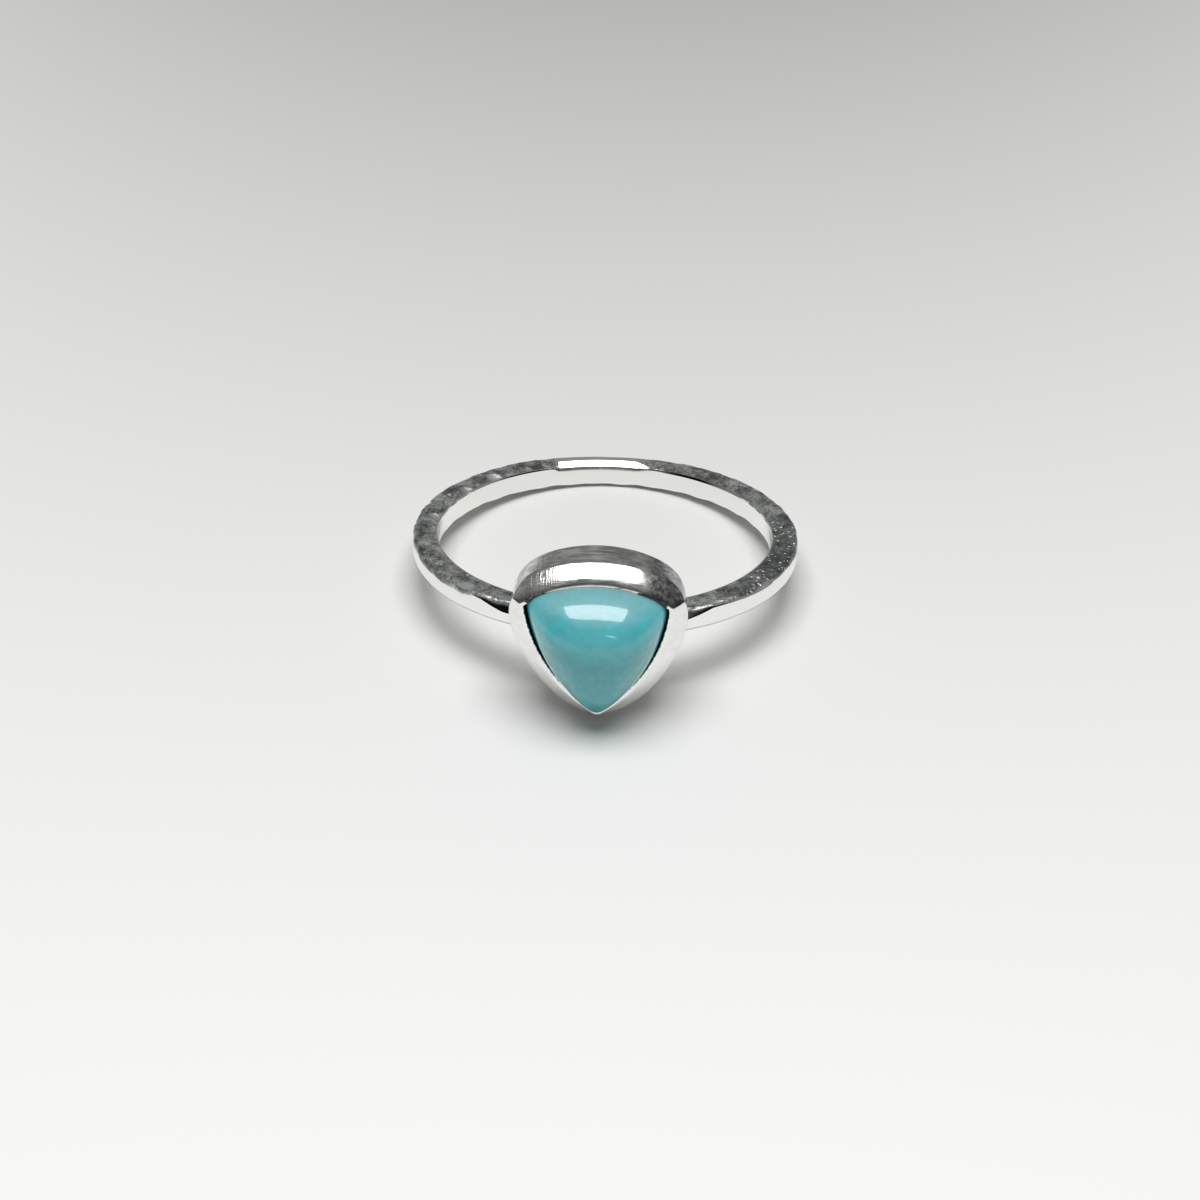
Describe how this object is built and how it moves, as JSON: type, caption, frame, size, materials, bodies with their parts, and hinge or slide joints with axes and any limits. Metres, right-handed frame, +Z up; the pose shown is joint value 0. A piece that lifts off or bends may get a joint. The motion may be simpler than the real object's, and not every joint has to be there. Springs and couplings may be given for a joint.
{
  "type": "turquoise ring",
  "caption": "Finger ring lying on its side: a hammered silver band with a three-cornered turquoise cabochon in a rubbed-over, closed-back cup",
  "frame": {"origin": "On the surface that the ring lies on, under the middle of its bounding box", "axes": "+Z up; +Y from the stone towards the back of the band, so the stone faces -Y; +X to the right seen from the stone's side"},
  "size_m": [0.0198, 0.0242, 0.0083],
  "materials": {
    "sterling_silver": "polished sterling silver, hammered on the outside of the band, slightly tarnished",
    "turquoise": "polished turquoise, opaque, even blue-green"
  },
  "bodies": {
    "root": {"band_and_setting": "sterling_silver", "stone": "turquoise"}
  },
  "joints": []
}
